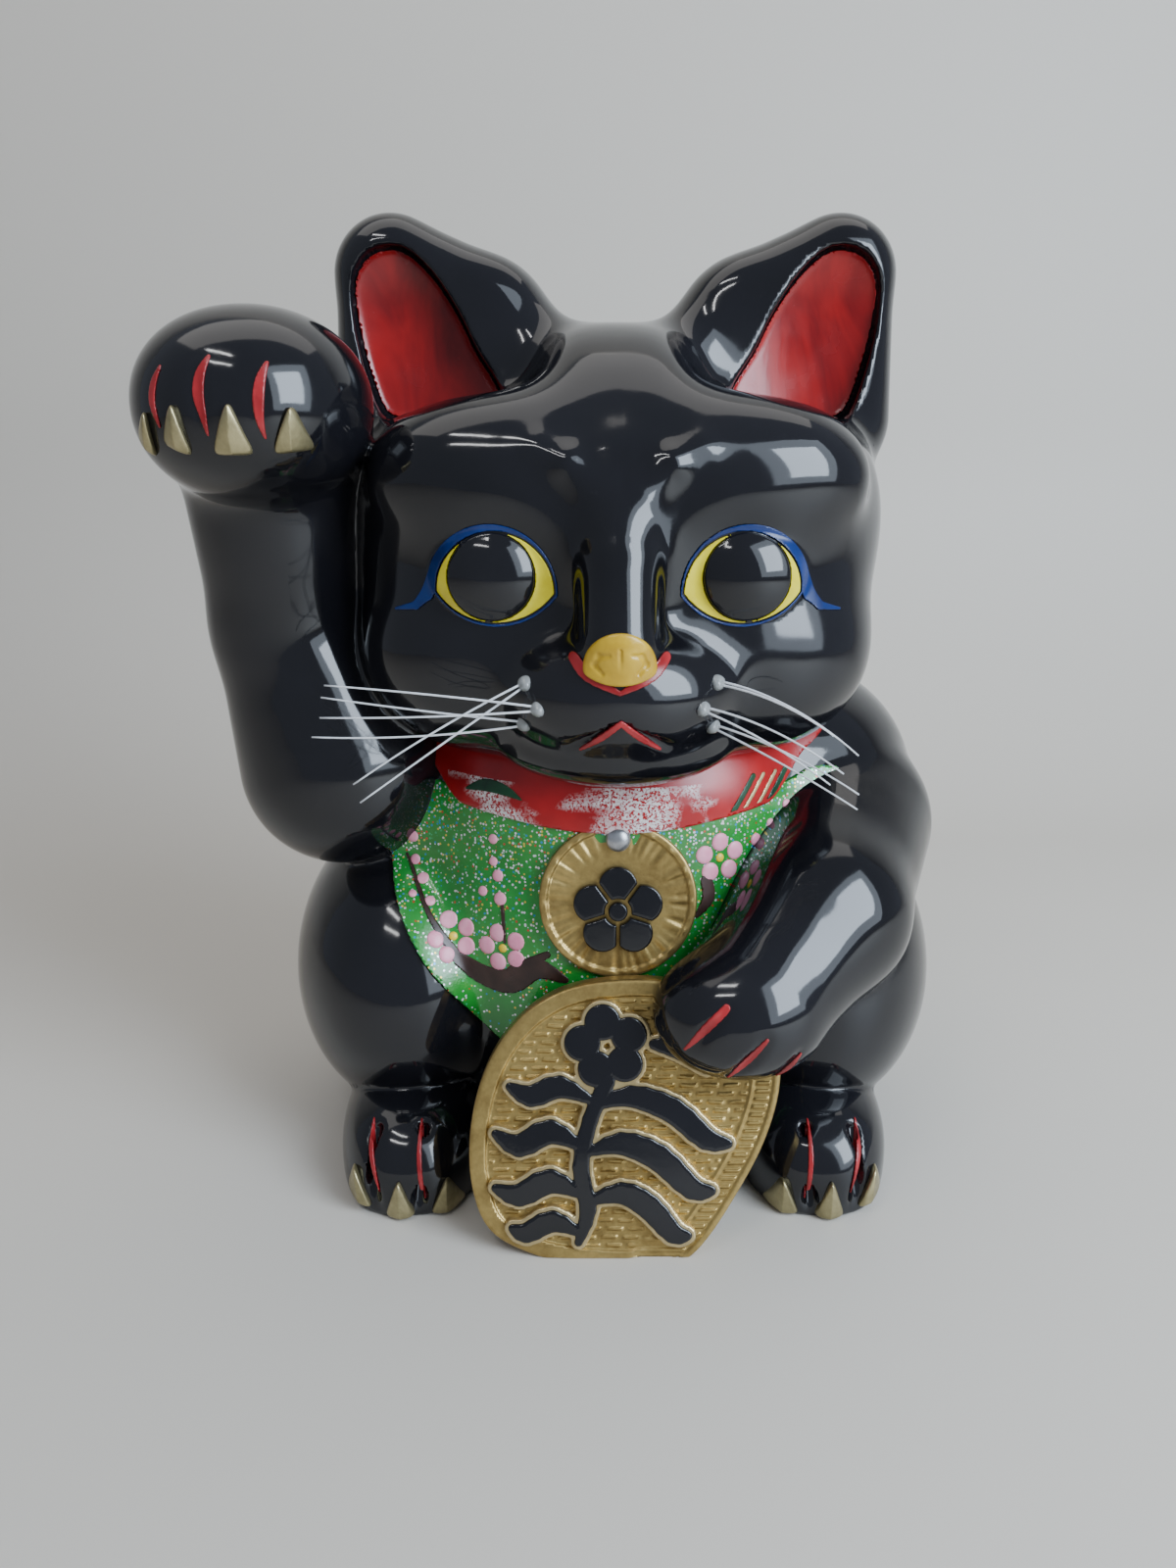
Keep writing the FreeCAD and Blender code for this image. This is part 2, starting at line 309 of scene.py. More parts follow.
def raised_arm(p):
    elbow = (-146, -46, 255)
    d = limb(p, (-126, -40, 190), elbow, 48, 33)
    d = join(d, limb(p, elbow, (-146, -60, 322), 33, 37), 14)
    paw = bulged(p, (-144, -84, 347), (46, 50, 38), 2.1)
    d = join(d, paw, 14)
    for x, lean in PAW_GROOVES:
        d = carve(d, limb(p, (x - lean, -134, 366), (x + lean, -138, 328), 1.6, 3.0), 6)
    return d


PAW_GROOVES = ((-169, 1), (-151, 1), (-130, 0))


def lowered_arm(p):
    elbow = (92, -84, 132)
    d = limb(p, (110, -14, 152), elbow, 48, 38)
    d = join(d, limb(p, elbow, (60, -120, 108), 38, 31), 14)
    d = join(d, ellipsoid(p, (50, -126, 104), (35, 30, 27)), 12)
    for start, end in LOWERED_GROOVES:
        d = carve(d, limb(p, start, end, 1.8, 2.6), 5)
    return d


LOWERED_GROOVES = (((43, -154, 118), (27, -152, 98)), ((59, -158, 106), (45, -151, 85)),
                   ((74, -151, 96), (65, -144, 81)))


def tail(p):
    d = limb(p, (-8, 108, 34), (46, 100, 24), 20, 15)
    return keep(d, -p[:, 2], 3)


def parts_of(p):
    """The distance to each casting by name; paired ones share a field."""
    return {
        "torso_shell": torso(p),
        "head_shell": skull(p),
        "ear": ear_block(p),
        "raised_arm": raised_arm(p),
        "lowered_arm": lowered_arm(p),
        "foot": hind_foot(p),
        "tail": tail(p),
    }


def glazed(p, fields=None):
    """The whole glazed outside of the cat."""
    f = fields or parts_of(p)
    head = join(f["head_shell"], f["ear"], 22)
    head = carve(head, keep(ear_hollow(p), -46 - p[:, 1], 6), 4)
    d = join(f["torso_shell"], f["foot"], 4)
    d = join(d, head, 4)
    d = join(d, f["raised_arm"], 8)
    d = join(d, f["lowered_arm"], 8)
    return join(d, f["tail"], 6)


SEAM = 1.6                      # how far neighbouring castings run under each other


def casting(name, side=0, hollow=None):
    """One casting: the part of the glazed outside that is nearest to its own field."""
    def field(p):
        f = parts_of(p)
        rest = np.minimum.reduce([value for key, value in f.items() if key != name])
        d = np.maximum(glazed(p, f), f[name] - rest - SEAM)
        if side:
            d = np.maximum(d, -p[:, 0] * side)
        if hollow:
            d = np.maximum(d, -hollow(p))
        return d
    return field


# ---- meshes from fields ----
BLOCK = 8                       # grid cells along each side of a block
BATCH = 400                     # blocks worked out together
CORNERS = np.array([(i, j, k) for i in (0, 1) for j in (0, 1) for k in (0, 1)])
EDGES = [(a, b) for a in range(8) for b in range(a + 1, 8)
         if np.abs(CORNERS[a] - CORNERS[b]).sum() == 1]


def sample(field, low, high, step):
    """The field on a grid, exact only in the blocks that its surface may cross."""
    low = vec(low)
    blocks = np.maximum(np.ceil((np.array(high) - low) / (step * BLOCK)).astype(int), 1)
    axes = [low[i] + (np.arange(blocks[i]) + 0.5) * BLOCK * step for i in range(3)]
    centres = np.stack(np.meshgrid(*axes, indexing="ij"), -1).reshape(-1, 3).astype(np.float32)
    coarse = field(centres).reshape(blocks)
    grid = np.repeat(np.repeat(np.repeat(coarse, BLOCK, 0), BLOCK, 1), BLOCK, 2)
    grid = np.pad(grid, ((0, 1), (0, 1), (0, 1)), mode="edge").astype(np.float32)
    near = np.argwhere(np.abs(coarse) < BLOCK * step * 1.5)
    span = np.arange(BLOCK + 1)
    local = np.stack(np.meshgrid(span, span, span, indexing="ij"), -1).reshape(-1, 3)
    for chunk in np.array_split(near, max(1, len(near) // BATCH + 1)):
        index = (chunk[:, None, :] * BLOCK + local[None]).reshape(-1, 3)
        values = field((low + index * step).astype(np.float32))
        grid[tuple(index.T)] = values
    return grid


def surface_net(grid):
    """Quads round every sign change, one vertex in each cell that is crossed."""
    inside = np.zeros(grid.shape, bool)
    inside[1:-1, 1:-1, 1:-1] = grid[1:-1, 1:-1, 1:-1] < 0
    count = np.zeros(np.array(grid.shape) - 1, np.int8)
    for i, j, k in CORNERS:
        count += inside[i:i + count.shape[0], j:j + count.shape[1], k:k + count.shape[2]]
    active = (count > 0) & (count < 8)
    cells = np.argwhere(active)
    number = np.full(active.shape, -1)
    number[active] = np.arange(len(cells))
    corner = tuple(np.moveaxis(cells[:, None, :] + CORNERS, -1, 0))
    value = grid[corner]
    sign = inside[corner]
    total = np.zeros((len(cells), 3))
    hits = np.zeros(len(cells))
    for a, b in EDGES:
        crossed = sign[:, a] != sign[:, b]
        gap = value[:, a] - value[:, b]
        t = np.clip(value[:, a] / np.where(np.abs(gap) < 1e-9, 1e-9, gap), 0, 1)
        point = CORNERS[a] + t[:, None] * (CORNERS[b] - CORNERS[a])
        total += np.where(crossed[:, None], point, 0)
        hits += crossed
    points = cells + total / hits[:, None]
    quads = []
    for axis in range(3):
        u, v = (axis + 1) % 3, (axis + 2) % 3
        first = np.take(inside, range(grid.shape[axis] - 1), axis)
        second = np.take(inside, range(1, grid.shape[axis]), axis)
        at = np.argwhere(first != second)
        ring = []
        for du, dv in ((-1, -1), (0, -1), (0, 0), (-1, 0)):
            cell = at.copy()
            cell[:, u] += du
            cell[:, v] += dv
            ring.append(number[tuple(cell.T)])
        ring = np.stack(ring, 1)
        outward = first[tuple(at.T)]
        quads.append(np.where(outward[:, None], ring, ring[:, ::-1]))
    return points, np.concatenate(quads)


def gradient(field, points, reach=0.15):
    """The field's slope at each point."""
    slopes = []
    for axis in range(3):
        shift = np.zeros(3, np.float32)
        shift[axis] = reach
        slopes.append((field(points + shift) - field(points - shift)) / (2 * reach))
    return np.stack(slopes, 1)


def sculpt(field, low, high, step, outside=None):
    """Vertices, quads and normals of a field's surface; outside gives smooth normals."""
    step = step * GRID
    grid = sample(field, low, high, step)
    points, quads = surface_net(grid)
    points = (np.array(low) + points * step).astype(np.float32)
    for _ in range(2):
        slope = gradient(field, points)
        size2 = np.maximum((slope * slope).sum(1), 0.05)
        move = slope * (field(points) / size2)[:, None]
        length = np.sqrt((move * move).sum(1)) + 1e-9
        points = points - move * np.minimum(1, 0.6 * step / length)[:, None]
    normals = gradient(field, points)
    if outside:
        on_skin = np.abs(outside(points)) < 0.25
        normals[on_skin] = gradient(outside, points[on_skin])
    normals /= np.sqrt((normals * normals).sum(1))[:, None] + 1e-9
    return points, quads, normals


# ---- pieces ----
def piece(name, points, faces, paint, nodes=(), normals=None):
    """One mesh of the figurine; paint is its material and a slot name, which is not used, nodes
    what it replaces.
    """
    material, slot = paint
    mesh = bpy.data.meshes.new(name)
    points = np.asarray(points, float) * MM
    points[:, 2] = np.maximum(points[:, 2], 0)      # nothing reaches below the table
    if isinstance(faces, np.ndarray):
        mesh.vertices.add(len(points))
        mesh.vertices.foreach_set("co", points.astype(np.float32).ravel())
        mesh.loops.add(faces.size)
        mesh.loops.foreach_set("vertex_index", faces.astype(np.int32).ravel())
        mesh.polygons.add(len(faces))
        mesh.polygons.foreach_set("loop_start", np.arange(0, faces.size, faces.shape[1]))
        mesh.update(calc_edges=True)
        mesh.validate()
    else:
        mesh.from_pydata([tuple(p) for p in points], [], faces)
    mesh.shade_smooth()
    if normals is not None and len(mesh.vertices) == len(normals):
        mesh.normals_split_custom_set_from_vertices([tuple(n) for n in normals])
    mesh.materials.append(material)
    made = put(name, mesh)
    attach(made, BODY)
    if nodes:
        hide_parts(*nodes)


def model(name, field, low, high, step, paint, nodes=(), outside=None):
    """A piece that is sculpted from a field."""
    points, quads, normals = sculpt(field, low, high, step, outside)
    piece(name, points, quads, paint, nodes, normals)


# ---- materials ----
class Nodes:
    """A short way to write a node material."""

    def __init__(self, name):
        self.material = bpy.data.materials.new(name)
        self.material.use_nodes = True
        self.tree = self.material.node_tree
        self.shader = self.tree.nodes["Principled BSDF"]
        self.place = self.add("ShaderNodeTexCoord").outputs["Object"]

    def add(self, kind, **settings):
        node = self.tree.nodes.new(kind)
        for key, value in settings.items():
            if hasattr(node, key):
                setattr(node, key, value)
            else:
                node.inputs[key.replace("_", " ")].default_value = value
        return node

    def link(self, source, target):
        self.tree.links.new(source, target)

    def noise(self, scale, detail=3.0, roughness=0.55, distortion=0.0, stretch=None):
        node = self.add("ShaderNodeTexNoise", Scale=scale, Detail=detail, Roughness=roughness,
                        Distortion=distortion)
        self.link(self.stretched(stretch), node.inputs["Vector"])
        return node.outputs["Fac"]

    def stretched(self, stretch=None):
        if stretch is None:
            return self.place
        node = self.add("ShaderNodeMapping")
        node.inputs["Scale"].default_value = stretch
        self.link(self.place, node.inputs["Vector"])
        return node.outputs["Vector"]

    def ramp(self, source, stops):
        node = self.add("ShaderNodeValToRGB")
        ramp = node.color_ramp
        while len(ramp.elements) < len(stops):
            ramp.elements.new(0.5)
        for element, (at, colour) in zip(ramp.elements, stops):
            element.position = at
            if not isinstance(colour, tuple):
                colour = (colour, colour, colour)
            element.color = (*colour, 1)
        self.link(source, node.inputs["Fac"])
        return node.outputs["Color"]

    def mix(self, factor, a, b):
        node = self.add("ShaderNodeMix", data_type="RGBA")
        for socket, value in ((node.inputs["Factor"], factor), (node.inputs["A"], a),
                              (node.inputs["B"], b)):
            self.feed(socket, value)
        return node.outputs["Result"]

    def math(self, operation, a, b=0.0):
        node = self.add("ShaderNodeMath", operation=operation)
        self.feed(node.inputs[0], a)
        self.feed(node.inputs[1], b)
        return node.outputs[0]

    def split(self, kind, source):
        node = self.add(kind)
        self.link(source, node.inputs[0])
        return node.outputs

    def feed(self, socket, value):
        if isinstance(value, bpy.types.NodeSocket):
            self.link(value, socket)
        elif isinstance(value, tuple):
            socket.default_value = (*value, 1)[:4]
        else:
            socket.default_value = value

    def bump(self, height, strength, distance, below=None):
        node = self.add("ShaderNodeBump", Strength=strength, Distance=distance)
        self.link(height, node.inputs["Height"])
        if below is not None:
            self.link(below, node.inputs["Normal"])
        self.link(node.outputs["Normal"], self.shader.inputs["Normal"])
        return node.outputs["Normal"]

    def set(self, **values):
        for key, value in values.items():
            self.feed(self.shader.inputs[key.replace("_", " ")], value)


def black_glaze():
    m = Nodes("black_glaze")
    smudge = m.noise(9, 5)
    colour = m.ramp(smudge, [(0.3, (0.0035, 0.0036, 0.0048)), (0.75, (0.010, 0.010, 0.013))])
    dust = m.ramp(m.noise(420, 2), [(0.70, 0.0), (0.80, 1.0)])
    patches = m.ramp(m.noise(14, 3), [(0.5, 0.0), (0.75, 0.35)])
    dusty = m.mix(m.math("MULTIPLY", dust, patches), colour, (0.06, 0.06, 0.06))
    rough = m.ramp(m.noise(26, 5, 0.6), [(0.35, 0.055), (0.8, 0.14)])
    m.set(Base_Color=dusty, Roughness=rough, IOR=1.55)
    m.bump(m.noise(22, 2), 0.25, 0.0016, m.bump(m.noise(260, 2), 0.03, 0.0004))
    return m.material


def red_enamel():
    m = Nodes("red_enamel")
    strokes = m.noise(34, 4, 0.6, 0.8, (1.0, 1.0, 0.35))
    m.set(Base_Color=m.ramp(strokes, [(0.32, (0.17, 0.004, 0.006)), (0.68, (0.44, 0.012, 0.012))]),
          Roughness=m.ramp(m.noise(60, 3), [(0.3, 0.16), (0.8, 0.34)]), IOR=1.5)
    m.bump(strokes, 0.25, 0.0008)
    return m.material


def enamel(name, dark, light, roughness=0.22, scale=60, relief=0.0003):
    """Opaque overglaze colour with slight brush marks."""
    m = Nodes(name)
    strokes = m.noise(scale, 3, 0.55, 0.5)
    m.set(Base_Color=m.ramp(strokes, [(0.3, dark), (0.75, light)]),
          Roughness=m.ramp(m.noise(90, 2), [(0.3, roughness * 0.8), (0.8, roughness * 1.5)]))
    m.bump(strokes, 0.3, relief)
    return m.material


def gold_lustre(name, dark, light, roughness):
    m = Nodes(name)
    wear = m.noise(38, 6, 0.65, 0.4)
    fine = m.noise(420, 3)
    colour = m.ramp(wear, [(0.28, dark), (0.62, light)])
    m.set(Base_Color=m.mix(0.25, colour, m.ramp(fine, [(0.3, dark), (0.7, light)])),
          Metallic=0.82, Roughness=m.ramp(wear, [(0.3, roughness * 1.35), (0.7, roughness * 0.8)]))
    m.bump(fine, 0.25, 0.0003, m.bump(wear, 0.35, 0.0010))
    return m.material


def glitter_green():
    """Green enamel under clear glaze full of coloured flakes, most of them near the collar."""
    m = Nodes("green_glitter")
    base = m.ramp(m.noise(30, 4), [(0.3, (0.008, 0.16, 0.016)), (0.75, (0.022, 0.34, 0.045))])
    height = m.split("ShaderNodeSeparateXYZ", m.place)["Z"]
    crowd = m.add("ShaderNodeMapRange")
    m.link(height, crowd.inputs["Value"])
    limits = (("From Min", 0.075), ("From Max", 0.165), ("To Min", 0.88), ("To Max", 0.42))
    for key, value in limits:
        crowd.inputs[key].default_value = value
    flakes = m.add("ShaderNodeTexVoronoi", feature="F1", Scale=760.0)
    m.link(m.place, flakes.inputs["Vector"])
    pick = m.split("ShaderNodeSeparateColor", flakes.outputs["Color"])
    chosen = m.math("GREATER_THAN", pick["Red"], crowd.outputs["Result"])
    round_flake = m.math("LESS_THAN", flakes.outputs["Distance"], 0.42)
    on = m.math("MULTIPLY", chosen, round_flake)
    hues = m.ramp(pick["Green"], [
        (0.0, (0.75, 0.78, 0.8)), (0.22, (0.55, 0.05, 0.03)), (0.34, (0.8, 0.75, 0.72)),
        (0.48, (0.02, 0.30, 0.55)), (0.60, (0.70, 0.55, 0.08)), (0.72, (0.04, 0.45, 0.16)),
        (0.86, (0.85, 0.85, 0.9))])
    hues.node.color_ramp.interpolation = "CONSTANT"
    m.set(Base_Color=m.mix(on, base, hues), Metallic=m.math("MULTIPLY", on, 0.35),
          Roughness=m.ramp(m.noise(50, 3), [(0.3, 0.16), (0.8, 0.30)]),
          Coat_Weight=0.5, Coat_Roughness=0.08)
    m.bump(flakes.outputs["Distance"], 0.12, 0.0004)
    return m.material


def collar_red():
    """Red enamel with worn white speckle; the dark diagonal stripes on the +X side are coats of
    their own.
    """
    m = Nodes("collar_red")
    red = m.ramp(m.noise(34, 4), [(0.3, (0.26, 0.006, 0.008)), (0.7, (0.46, 0.012, 0.014))])
    grains = m.ramp(m.noise(900, 3, 0.7), [(0.46, 0.0), (0.51, 1.0)])
    patches = m.ramp(m.noise(26, 3, 0.5, 0.3, (1.0, 1.0, 1.6)), [(0.44, 0.0), (0.54, 1.0)])
    side = m.split("ShaderNodeSeparateXYZ", m.place)
    middle = m.math("LESS_THAN", m.math("ABSOLUTE", m.math("ADD", side["X"], 0.015)), 0.06)
    low = m.math("LESS_THAN", side["Z"], 0.192)
    speck = m.math("MULTIPLY", m.math("MULTIPLY", grains, patches), m.math("MULTIPLY", middle, low))
    colour = m.mix(speck, red, (0.72, 0.68, 0.66))
    m.set(Base_Color=colour, Roughness=m.ramp(m.noise(70, 3), [(0.3, 0.14), (0.8, 0.30)]))
    m.bump(grains, 0.08, 0.0003)
    return m.material


def clear_plastic(name, tint, roughness, transmission):
    m = Nodes(name)
    pale = tuple(min(1, c * 1.25) for c in tint)
    m.set(Base_Color=m.ramp(m.noise(300, 2), [(0.3, tint), (0.8, pale)]),
          Roughness=roughness, Transmission_Weight=transmission, IOR=1.5)
    return m.material


def matte_rubber():
    m = Nodes("stopper_rubber")
    tones = [(0.3, (0.018, 0.018, 0.018)), (0.8, (0.045, 0.044, 0.042))]
    m.set(Base_Color=m.ramp(m.noise(60, 4), tones),
          Roughness=m.ramp(m.noise(200, 3), [(0.3, 0.55), (0.8, 0.8)]))
    m.bump(m.noise(700, 2), 0.2, 0.0003)
    return m.material


def silver():
    m = Nodes("silver_stud")
    tones = [(0.3, (0.32, 0.32, 0.33)), (0.8, (0.62, 0.62, 0.64))]
    m.set(Base_Color=m.ramp(m.noise(200, 3), tones), Metallic=0.8, Roughness=0.3)
    m.bump(m.noise(300, 2), 0.2, 0.0003)
    return m.material


# each paint is a material and a slot name
BLACK = black_glaze(), "black_glaze"
RED = red_enamel(), "red_enamel"
RED_LINE = enamel("red_line", (0.20, 0.008, 0.01), (0.46, 0.03, 0.035), 0.2), "red_enamel"
GOLD = gold_lustre("gold_lustre", (0.17, 0.105, 0.03), (0.52, 0.37, 0.13), 0.36), "gold_lustre"
CLAW_GOLD = gold_lustre("claw_gold", (0.20, 0.17, 0.085), (0.46, 0.40, 0.22), 0.34), "gold_lustre"
NOSE_GOLD = (enamel("nose_gold", (0.42, 0.24, 0.012), (0.66, 0.42, 0.03), 0.2, 90, 0.0006),
             "gold_lustre")
PALE_GOLD = gold_lustre("pale_gold", (0.36, 0.27, 0.12), (0.66, 0.52, 0.27), 0.34), "gold_lustre"
GREEN = glitter_green(), "green_glitter"
COLLAR = collar_red(), "red_enamel"
YELLOW = enamel("eye_yellow", (0.62, 0.50, 0.01), (0.85, 0.74, 0.03), 0.16), "eye_enamel"
BLUE = enamel("eye_blue", (0.002, 0.012, 0.075), (0.005, 0.034, 0.18), 0.2), "eye_enamel"
PINK = enamel("petal_pink", (0.80, 0.25, 0.38), (0.92, 0.42, 0.53), 0.3, 120), "red_enamel"
YOLK = enamel("blossom_yellow", (0.75, 0.5, 0.02), (0.85, 0.62, 0.05), 0.3, 120), "eye_enamel"
BROWN = enamel("branch_brown", (0.018, 0.008, 0.006), (0.055, 0.022, 0.016), 0.3, 80), "black_glaze"
NYLON = clear_plastic("nylon", (0.75, 0.76, 0.78), 0.25, 0.25), "nylon"
GLUE = clear_plastic("glue", (0.42, 0.43, 0.42), 0.12, 0.45), "glue"
SILVER = silver(), "silver_stud"
RUBBER = matte_rubber()


# ---- castings: the black glazed body ----
STOPPER_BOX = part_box("base_stopper")
STOPPER_Y = (STOPPER_BOX[0][1] + STOPPER_BOX[1][1]) / 2 / MM
RECESS_R = 31.0
RECESS_DEPTH = 6.0
HOLE_R = 22.0
FLOOR_T = 12.0
SLOT_Z = 318.0
SLOT_HALF = (23, 2.75)


def round_hole(p, radius, low, high):
    """An upright round hole in the base."""
    across = np.hypot(p[:, 0], p[:, 1] - STOPPER_Y) - radius
    return np.maximum(across, np.abs(p[:, 2] - (low + high) / 2) - (high - low) / 2)


def body_hollow(p):
    """The coin room, the hole in the floor and the shallow recess round it."""
    room = np.maximum(ellipsoid(p, (0, 20, 80), (74, 66, 78)), FLOOR_T - p[:, 2])
    d = np.minimum(room, round_hole(p, HOLE_R, -5, 40))
    return np.minimum(d, round_hole(p, RECESS_R, -5, RECESS_DEPTH))


def head_hollow(p):
    """The room behind the coin slot, and the slot itself."""
    room = ellipsoid(p, (0, 20, 306), (56, 52, 46))
    slot = np.maximum(np.abs(p[:, 0]) - SLOT_HALF[0], np.abs(p[:, 2] - SLOT_Z) - SLOT_HALF[1])
    slot = np.maximum(slot, np.maximum(30 - p[:, 1], p[:, 1] - 120))
    return np.minimum(room, slot)


def make_castings():
    plan = [
        ("torso_shell", "torso_shell", 0, 2.6, (-168, -110, -6), (168, 134, 246), body_hollow),
        ("head_shell", "head_shell", 0, 1.95, (-130, -158, 190), (130, 92, 395), head_hollow),
        ("left_ear", "ear", -1, 1.7, (-134, -52, 318), (-8, 34, 438), None),
        ("right_ear", "ear", 1, 1.7, (8, -52, 318), (134, 34, 438), None),
        ("raised_arm", "raised_arm", 0, 2.0, (-200, -146, 132), (-68, 20, 396), None),
        ("lowered_arm", "lowered_arm", 0, 2.0, (8, -166, 66), (170, 44, 206), None),
        ("left_foot", "foot", -1, 1.7, (-134, -132, -5), (-52, 8, 56), None),
        ("right_foot", "foot", 1, 1.7, (52, -132, -5), (134, 8, 56), None),
        ("tail", "tail", 0, 2.0, (-34, 84, -5), (68, 134, 60), None),
    ]
    for node, key, side, step, low, high, hollow in plan:
        model("glazed_" + node, casting(key, side, hollow), low, high, step, BLACK, [node], glazed)


make_castings()


# ---- enamel on the glaze ----
SINK = 1.2                      # how deep each enamel skin is let into the glaze
SIDES = (("left", -1), ("right", 1))


def skin(base, outline, thick, soft=0.6):
    """A thin raised layer on a surface, inside an outline."""
    def field(p):
        shell = np.abs(base(p) - (thick - SINK) / 2) - (thick + SINK) / 2
        return keep(shell, outline(p), soft)
    return field


def coat(name, base, outline, thick, low, high, step, paint, nodes=(), soft=0.6):
    model(name, skin(base, outline, thick, soft), low, high, step, paint, nodes)


def on_side(side, x, y, z):
    """Low and high corners of a box on one side of the cat; x counts outwards."""
    near, far = sorted((x[0] * side, x[1] * side))
    return (near, y[0], z[0]), (far, y[1], z[1])


def flowing(points, radii, per_span=4):
    """A smooth open curve through the points, with the radii drawn out along it."""
    knots = np.column_stack([np.array(points, float), radii])
    knots = np.vstack([knots[:1], knots, knots[-1:]])
    run = []
    for four in zip(knots, knots[1:], knots[2:], knots[3:]):
        run += spline(*four, per_span)
    run = np.array(run + [knots[-1]])
    return run[:, :2], np.maximum(run[:, 2], 0.3)


def stroke(points, radii):
    """The outline of a brush stroke through (x, z) points, seen from the front."""
    line, radii = flowing(points, radii)
    track = [(x, 0, z) for x, z in line]

    def outline(p):
        flat = p.copy()
        flat[:, 1] = 0
        return tube(flat, track, radii, 0.6)
    return outline


def any_of(fields):
    return lambda p: np.minimum.reduce([field(p) for field in fields])


def triangle(corners, radius):
    """A rounded triangle in x and z, its corners in either order."""
    (ax, az), (bx, bz), (cx, cz) = corners
    turn = (bx - ax) * (cz - az) - (bz - az) * (cx - ax)
    ordered = corners if turn > 0 else corners[::-1]
    return lambda p: rounded_triangle(p[:, 0], p[:, 2], ordered, radius)


def front(base, x, z, start=-190.0):
    """Where a line looking along +Y at (x, z) meets a surface."""
    p = np.array([[x, start, z]], np.float32)
    for _ in range(60):
        p[0, 1] += 0.7 * float(base(p)[0])
    return float(p[0, 1])


EYE_X = 48.3
PUPIL_X = 49.5
EYE_Z = 283.5


def almond(p, side, grow=0.0, shift=0.0):
    """The eye opening: a round upper lid over a flatter lower lid."""
    u = p[:, 0] * side
    upper = np.hypot(u - EYE_X - shift, p[:, 2] - 277.2) - 23.6 - grow
    lower = np.hypot(u - EYE_X, p[:, 2] - 294.7) - 29.4 - min(grow, 1.2)
    return np.maximum(upper, lower)


def pupil(p, side, grow=0.0):
    return np.hypot(p[:, 0] * side - PUPIL_X, p[:, 2] - EYE_Z) - 17.0 - grow


def eye_liner(p, side):
    """Blue line round the eye, thicker over the top and running out to a tail."""
    band = np.maximum(almond(p, side, 2.7, 1.8), -almond(p, side, 0.2))
    mirrored = p.copy()
    mirrored[:, 0] *= side
    mirrored[:, 1] = 0
    tail_line = [(72.5, 0, 284), (76, 0, 276), (81, 0, 271), (90, 0, 269)]
    line = tube(mirrored, tail_line, [2.9, 2.6, 1.6, 0.5], 1.0)
    return np.minimum(band, np.maximum(line, -almond(p, side, 0.2)))


def make_eyes():
    for name, side in SIDES:
        low, high = on_side(side, (20, 100), (-135, -85), (256, 310))
        yellow = lambda p: np.maximum(almond(p, side, -0.5), -pupil(p, side, 0.2))
        coat(name + "_eye_iris", skull, yellow, 0.7, low, high, 0.55, YELLOW, [name + "_eye"], 0.3)
        black = lambda p: np.maximum(pupil(p, side, -0.1), almond(p, side, 0.6))
        coat(name + "_eye_pupil", skull, black, 1.3, low, high, 0.6, BLACK, soft=1.2)
        liner = lambda p: eye_liner(p, side)
        coat(name + "_eye_liner", skull, liner, 0.6, low, high, 0.55, BLUE, soft=0.3)


def nose_outline(p):
    top = np.hypot(p[:, 0], p[:, 2] - 252.3) - 14.0
    return keep(top, np.hypot(p[:, 0], p[:, 2] - 270.5) - 24.5, 2)


def make_nose():
    centre_y = front(skull, 0, 256)

    def field(p):
        d = skin(skull, nose_outline, 1.9, 1.6)(p)
        q = paired(p)
        groove = limb(p, (0, centre_y - 2.6, 260), (0, centre_y - 2.0, 248), 0.5, 0.9)
        curl = tube(q, [(4.5, centre_y - 2.2, 258), (8.5, centre_y - 0.8, 257.5),
                        (10, centre_y + 0.8, 254), (7, centre_y + 0.2, 251)], [0.6, 1.0, 1.0, 0.6])
        return carve(carve(d, groove, 1.2), curl, 1.4)

    model("nose_gold", field, (-19, -154, 240), (19, -118, 272), 0.6, NOSE_GOLD, ["nose"])
    lips = [stroke([(-17.5, 255.5), (-12, 249.5), (0, 243.2)], [2.0, 2.2, 0.9]),
            stroke([(17.5, 255.5), (12, 249.5), (0, 243.2)], [2.0, 2.2, 0.9])]
    coat("nose_line", skull, any_of(lips), 0.7, (-22, -152, 238), (22, -112, 262), 0.55, RED_LINE)
    mouth = [stroke([(-15, 219), (-7, 225), (0.5, 231.5)], [0.6, 1.3, 1.1]),
             stroke([(16, 219), (8, 225), (0.5, 231.5)], [0.6, 1.3, 1.1])]
    coat("mouth_line", skull, any_of(mouth), 0.7, (-20, -152, 212), (21, -112, 236), 0.55, RED_LINE)


def make_ear_linings():
    for name, side in SIDES:
        def outline(p):
            q = paired(p)
            lining = in_loop(q[:, 0], q[:, 2], EAR_RING) + 1.6
            lining = np.maximum(lining, ear_hollow(p) - 2.5)
            lining = np.maximum(lining, -34 - p[:, 1])
            return np.maximum(lining, -p[:, 0] * side)
        low, high = on_side(side, (40, 124), (-50, 4), (328, 420))
        coat(name + "_ear_lining", glazed, outline, 0.8, low, high, 0.9, RED, soft=0.4)


